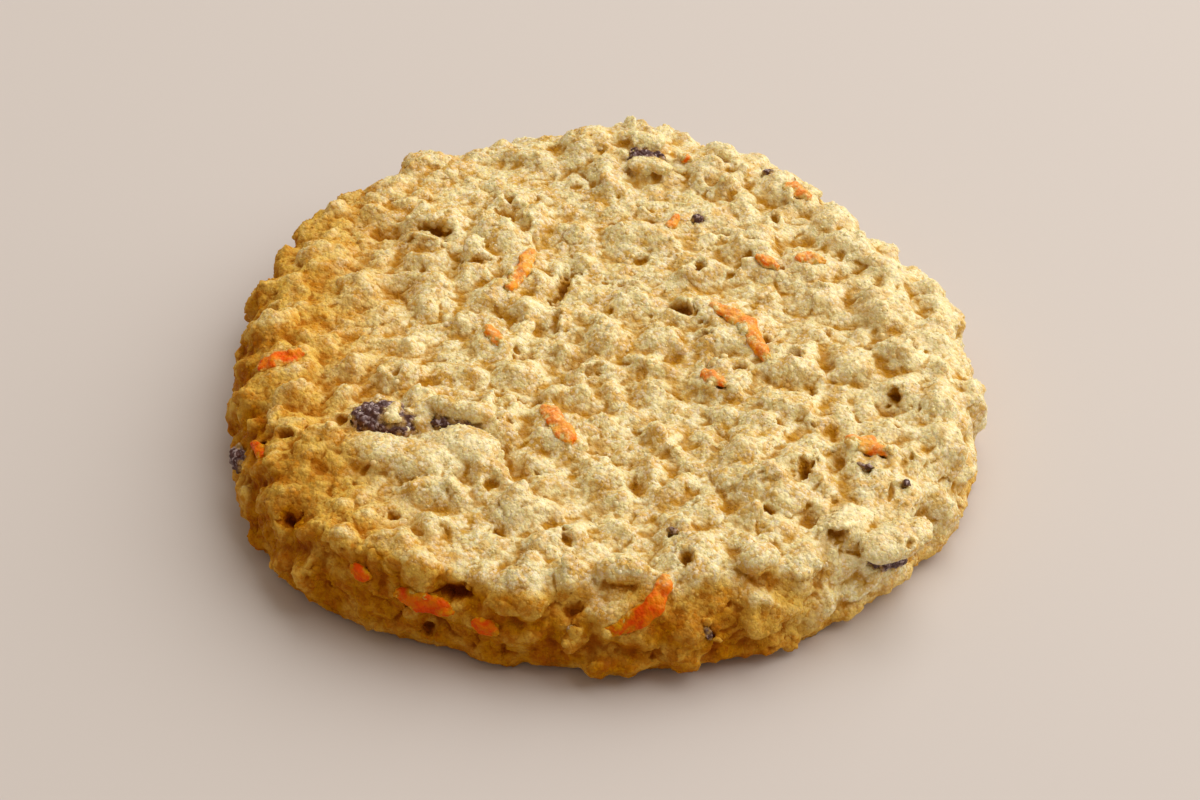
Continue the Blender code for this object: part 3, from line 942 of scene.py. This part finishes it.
oats = {"size": (4.2, 3.3, 1.9), "lump": 0.4, "perSquareMm": 0.05, "apart": 3.4, "seed": 11, "rounds": 3,
        "tilt": 0.2, "scale": (0.7, 1.1), "sunk": 0.6, "away": (1.2, 1000), "lowestNormal": -0.6}
lumps = {"size": (2.1, 1.8, 1.6), "lump": 0.4, "perSquareMm": 0.5, "apart": 1.25, "seed": 23, "rounds": 2,
         "tilt": 0.5, "scale": (0.6, 1.25), "sunk": 0.5, "away": (0.6, 1000), "lowestNormal": -0.75}
edgeLumps = {"size": (3.2, 2.4, 1.6), "lump": 0.7, "perSquareMm": 0.7, "apart": 1.9, "seed": 31, "rounds": 2,
             "tilt": 0.5, "scale": (0.4, 0.9), "sunk": 0.0, "away": (0, 1.2), "lowestNormal": 0.1}
crumbs = {"size": (1.1, 1.0, 0.9), "lump": 0.25, "perSquareMm": 0.1, "apart": 1.0, "seed": 43, "rounds": 2,
          "tilt": 1.5, "scale": (0.5, 1.1), "sunk": 0.25, "away": (0.8, 1000), "lowestNormal": -0.6}
grains = {"size": (0.5, 0.45, 0.4), "lump": 0.1, "perSquareMm": 0.55, "apart": 0.5, "seed": 57, "rounds": 1,
          "tilt": 1.5, "scale": (0.6, 1.2), "sunk": 0.08, "away": (0.0, 1000), "lowestNormal": -0.4}
toppingCrumbs = {"size": (1.2, 0.9, 0.7), "lump": 0.45, "perSquareMm": 0.08, "apart": 1.6, "seed": 71,
                 "rounds": 2, "tilt": 1.5, "scale": (0.3, 0.8), "sunk": 0.2, "away": (0, 1000),
                 "lowestNormal": -0.2}
# dough lying over the raisins, and knobs along the front: middle, size, bearing, in mm and degrees
coverings = {
    "onLargeRaisin": ((-30.6, -20.6, 17.2), (2.4, 2.4, 1.7), 30),
    "behindOnRaisin": ((-30.2, -18.6, 17.3), (1.5, 3.2, 1.4), -20),
    "frontOfLargeRaisin": ((-31.8, -26.9, 15.9), (13.0, 7.4, 4.4), -14),
    "foldBetween": ((-26.0, -28.2, 15.5), (13.0, 8.0, 4.6), -18),
    "ledgeOverSecond": ((-20.4, -18.4, 16.8), (11.5, 3.6, 2.8), -24),
    "frontOfSecond": ((-20.0, -25.7, 16.0), (12.0, 7.4, 4.4), -22),
    "ledgeOverFront": ((40.2, -41.9, 12.6), (12.5, 7.0, 4.2), 35),
    "behindBackRaisin": ((6.4, 46.6, 16.4), (6.5, 3.0, 2.4), -11),
    "frontOfBackRaisin": ((6.8, 40.8, 15.9), (7.5, 3.6, 2.4), -8),
    "knobLeftOfFront": ((-25.8, -49.0, 14.0), (6.4, 4.8, 5.4), -25),
    "knobFarLeft": ((-36.0, -43.4, 14.0), (5.6, 4.6, 4.6), -45),
    "knobMiddle": ((-10.5, -54.0, 11.5), (5.4, 3.6, 5.2), 0),
    "knobOverStrip": ((2.2, -50.4, 14.8), (8.4, 4.6, 4.4), 0),
    "knobRight": ((21.0, -47.8, 14.6), (6.0, 4.4, 4.4), 20),
}
coveringLump = 0.5               # mm


def makeCovering(name, middle, size, bearing):
    # the length of the name serves as the seed
    cover = makeTemplate(name, size, coveringLump, len(name), 3)
    bpy.ops.object.mode_set(mode="EDIT")
    bpy.ops.mesh.select_all(action="SELECT")
    bpy.ops.transform.rotate(value=-math.radians(bearing), orient_axis="Z", center_override=(0, 0, 0))
    bpy.ops.transform.translate(value=tuple(side * mm for side in middle))
    bpy.ops.object.mode_set(mode="OBJECT")
    return cover


def makeSkin(crust, toppings):
    # all that is laid on, joined and made one skin
    layers = [makeCovering(name, *values) for name, values in coverings.items()]
    layers.append(scatterBits(crust, "oat", toppings, oats))
    layers.append(scatterBits(crust, "lump", toppings, lumps))
    layers.append(scatterBits(toppings, "edge", crust, edgeLumps))
    joinInto(crust, *layers)
    addModifier(crust, "REMESH", mode="VOXEL", voxel_size=dough["skinVoxel"] * mm)
    addModifier(crust, "SMOOTH", factor=0.5, iterations=dough["skinSmooth"])


def makeDough(toppings):
    crust = copyNode(doughNode, "cookieCrust")
    addModifier(crust, "REMESH", mode="VOXEL", voxel_size=dough["coreVoxel"] * mm)
    addModifier(crust, "SMOOTH", factor=0.5, iterations=dough["coreSmooth"])
    addModifier(crust, "DISPLACE", strength=-dough["shrink"] * mm, mid_level=0.0)
    makeSkin(crust, toppings)
    clump(crust.data, bigClumps)
    clump(crust.data, smallClumps)
    deepenHollows(crust.data)
    hollowed = makePits(crust.data)
    carve(crust.data, hollowed)
    closePockets(crust.data, toppings)
    addModifier(
        crust, "DISPLACE", strength=-dough["granuleRise"] * mm, texture_coords="LOCAL", mid_level=0.4,
        texture=lumpTexture("granules", "VORONOI", dough["granule"] * mm),
    )
    holdInBox(crust.data)
    print("crust before thinning", triangleCount(crust), "triangles")
    before = treeOf(readPoints(crust.data))
    addModifier(crust, "DECIMATE", ratio=min(1, dough["mostTriangles"] / triangleCount(crust)))
    pick(crust)
    bpy.ops.object.shade_smooth()
    paintMasks(crust.data)
    nearest = [before.find(place)[1] for place in readPoints(crust.data).tolist()]
    writeAttribute(crust.data, "hollowed", hollowed[nearest])
    print("crust", triangleCount(crust), "triangles")
    return crust


# the dough's colours: a mask, where the colour begins, where it is full, its share there, the colour

# painted shade: amber in the low places, and darker still in the lowest
lowShadeTints = (
    ("wideStanding", -0.1, -1.1, 0.6, "amberShade"),
    ("midStanding", -0.08, -0.6, 0.75, "amberShade"),
    ("wideStanding", -0.8, -1.6, 0.9, "deepShade"),
    ("midStanding", -0.4, -0.9, 0.8, "deepShade"),
)
# painted shade in the pits and in the carved hollows
hollowShadeTints = (
    ("hollowed", 0.1, 0.8, 0.85, "amberShade"),
    ("hollowed", 0.6, 1.0, 0.8, "deepShade"),
)
doughMasks = ("fineStanding", "midStanding", "wideStanding", "hollowed", "toasted")


def tint(tree, base, mask, begin, full, share, name):
    return mixColours(tree, mapRange(tree, mask, begin, full, (0, share)), base, crustFinish[name])


def browningAndShadeOver(tree, toastingAndShade):
    # browning and painted shade in two stages, both multiplied over the colour under them
    over = mixColours(tree, mapRange(tree, toastingAndShade, 0.0, 0.5), (1, 1, 1, 1), crustFinish["toastingAndShade"])
    return mixColours(tree, mapRange(tree, toastingAndShade, 0.35, 1.0), over, crustFinish["browningAndShade"])


def sugaring(tree, tone, toastingAndShade, hollowed, unshaded):
    # pale sugar on bright granules, away from what is browned or painted as shaded, and from hollow or low
    # places
    share = times(tree, mapRange(tree, tone, 0.5, 0.95, (0, 0.45)),
                  mapRange(tree, toastingAndShade, 0.1, 0.8, (1, 0.2)))
    share = times(tree, share, mapRange(tree, hollowed, 0.1, 0.5, (1, 0.1)))
    return times(tree, share, unshaded)


def doughMaterial(name, loose):
    made, tree, shader = newMaterial(name)
    masks = {mask: attributeOf(tree, mask) for mask in doughMasks}
    coarseTone, coarseDome = grainOf(tree, crustFinish["coarseGrain"])
    fineTone, fineDome = grainOf(tree, crustFinish["fineGrain"])
    tone = attributeOf(tree, "tone") if loose else fineTone
    # standsOut and unshaded are full outside the low places where shade is painted
    standsOut = times(tree, mapRange(tree, masks["wideStanding"], -0.9, -0.1),
                      mapRange(tree, masks["midStanding"], -0.4, -0.08))
    unshaded = mapRange(tree, standsOut, 0.0, 1.0, (0.1, 1))
    # browning and painted shade, made patchy
    toastingAndShade = times(tree, masks["toasted"], mapRange(tree, noiseOf(tree, 4.5), 0.25, 0.6, (0.65, 1)))

    base = tint(tree, crustFinish["cream"], noiseOf(tree, 2.6), 0.45, 0.64, 1, "gold")
    base = tint(tree, base, coarseTone, 0.45, 0.0, 0.7, "gold")
    base = tint(tree, base, coarseTone, 0.6, 1.0, 0.45, "pale")
    for mask, *values in lowShadeTints:
        base = tint(tree, base, masks[mask], *values)
    if not loose:
        # painted shade in the fine crevices and between the granules
        base = tint(tree, base, masks["fineStanding"], -0.04, -0.22, 0.6, "amberShade")
        base = tint(tree, base, fineDome, 0.42, 0.2, 0.3, "amberShade")
    for mask, *values in hollowShadeTints:
        base = tint(tree, base, masks[mask], *values)
    sugar = sugaring(tree, tone, toastingAndShade, masks["hollowed"], unshaded)
    base = mixColours(tree, sugar, base, crustFinish["sugar"])
    # paler outside the low places, from the paler zones and the painted light towards the lamp
    paler = times(tree, mapRange(tree, masks["toasted"], 0.0, -1.0, (0, 0.85)), standsOut)
    base = mixColours(tree, paler, base, crustFinish["pale"])
    base = mixColours(tree, 1.0, base, browningAndShadeOver(tree, toastingAndShade), "MULTIPLY")
    tree.links.new(base, shader.inputs["Base Color"])

    roughness = mapRange(tree, tone, 0.2, 0.9, crustFinish["roughness"])
    tree.links.new(roughness, shader.inputs["Roughness"])
    moist = times(tree, mapRange(tree, toastingAndShade, 0.05, 0.5, crustFinish["moist"]), unshaded)
    if not loose:
        moist = times(tree, moist, mapRange(tree, masks["fineStanding"], -0.14, 0.02))
        coarse = times(tree, coarseDome, crustFinish["coarseHeight"])
        height = calculate(tree, "ADD", calculate(tree, "ADD", coarse, fineDome),
                           noiseOf(tree, crustFinish["finestNoise"]))
        bumpFrom(tree, shader, height, crustFinish)
    tree.links.new(moist, shader.inputs["Coat Weight"])
    shader.inputs["Coat Roughness"].default_value = crustFinish["moistRoughness"]
    shader.inputs["Specular IOR Level"].default_value = crustFinish["specular"]
    shader.inputs["Subsurface Weight"].default_value = crustFinish["subsurface"]
    shader.inputs["Subsurface Radius"].default_value = crustFinish["subsurfaceRadius"]
    glow = crustFinish["looseGlow"] if loose else crustFinish["skinGlow"]
    shader.inputs["Subsurface Scale"].default_value = glow * mm
    return made


def dressAsDough(obj, material):
    obj.data.materials.clear()
    obj.data.materials.append(material)
    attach(obj, "root")


# the toppings get the browning and the painted shade of the dough beside them, and dough clings where they
# go into it

doughCling = {"range": (0.1, 0.65), "ragged": 0.7, "raggedSize": 1.1}    # mm


def handMasks(source, targets):
    tree = treeOf(readPoints(source.data))
    values = np.empty(len(source.data.vertices), np.float32)
    source.data.attributes["toasted"].data.foreach_get("value", values)
    for target in targets:
        found = [tree.find(place) for place in readPoints(target.data).tolist()]
        nearest = [index for _, index, _ in found]
        writeAttribute(target.data, "toasted", np.maximum(values[nearest], 0))
        away = np.array([
            far / mm + doughCling["ragged"] * noise.noise(Vector(near) / mm / doughCling["raggedSize"])
            for near, _, far in found])
        writeAttribute(target.data, "buried", 1 - smoothstep(away, *doughCling["range"]))


toppings = toppingsTogether()
crust = makeDough(toppings)
handMasks(crust, [toppings] + pieces)
looseFinish = doughMaterial("looseDough", True)
dressAsDough(crust, doughMaterial("bakedDough", False))
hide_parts(doughNode)
crumbPiece = scatterBits(crust, "crumbs", toppings, crumbs)
grainPiece = scatterBits(crust, "sugaryGrains", toppings, grains)
joinInto(crumbPiece, scatterBits(toppings, "toppingCrumbs", crust, toppingCrumbs))
for piece in (crumbPiece, grainPiece):
    keepOverFloor(piece.data)
    dressAsDough(piece, looseFinish)
bpy.data.objects.remove(toppings)
print("dough done")


# floor, light and camera

studio = {
    "floor": colour(205, 198, 196),
    "floorRoughness": 0.75,
    "floorSize": 3.0,
    "floorDrop": 0.02,           # mm under the part
    "world": colour(255, 237, 212),
    "worldStrength": 0.4,
    "lampPlace": (0.78, 0.5, 0.92),
    "lampSize": 2.1,
    "lampPower": 30.5,
    "lampTint": colour(255, 253, 248),
}
camera = {
    "lens": 123.9,
    "sensor": 36,
    "elevation": 40.0,
    "distance": 0.6176,
    "aim": (-0.00094, 0.00356, 0.0),
    "clipStart": 0.01,
}


def makeFloor():
    deselectAll()
    bpy.ops.mesh.primitive_plane_add(size=studio["floorSize"], location=(0, 0, -studio["floorDrop"] * mm))
    floor = bpy.context.object
    floor.name = "paleFloor"
    made, _, shader = newMaterial("paleFloor")
    shader.inputs["Base Color"].default_value = studio["floor"]
    shader.inputs["Roughness"].default_value = studio["floorRoughness"]
    floor.data.materials.append(made)


def makeLight():
    # one wide soft lamp behind the part on the right, turned to its middle
    lamp = bpy.data.lights.new("windowLight", "AREA")
    lamp.shape = "RECTANGLE"
    lamp.size = lamp.size_y = studio["lampSize"]
    lamp.energy = studio["lampPower"]
    lamp.color = studio["lampTint"][:3]
    holder = bpy.data.objects.new("windowLight", lamp)
    bpy.context.scene.collection.objects.link(holder)
    holder.location = studio["lampPlace"]
    holder.rotation_euler = (-Vector(studio["lampPlace"])).to_track_quat("-Z", "Y").to_euler()


def makeWorld():
    world = bpy.data.worlds.new("studioWorld")
    bpy.context.scene.world = world
    world.use_nodes = True
    background = world.node_tree.nodes["Background"]
    background.inputs[0].default_value = studio["world"]
    background.inputs[1].default_value = studio["worldStrength"]
    bpy.context.scene.view_settings.view_transform = "Standard"


def makeCamera():
    lens = bpy.data.cameras.new("photoView")
    lens.lens = camera["lens"]
    lens.sensor_width = camera["sensor"]
    lens.clip_start = camera["clipStart"]
    holder = bpy.data.objects.new("photoView", lens)
    bpy.context.scene.collection.objects.link(holder)
    lift = math.radians(camera["elevation"])
    back = Vector((0, -math.cos(lift), math.sin(lift)))
    holder.location = Vector(camera["aim"]) + back * camera["distance"]
    holder.rotation_euler = (math.pi / 2 - lift, 0, 0)
    bpy.context.scene.camera = holder


makeFloor()
makeLight()
makeWorld()
makeCamera()

bpy.context.view_layer.update()
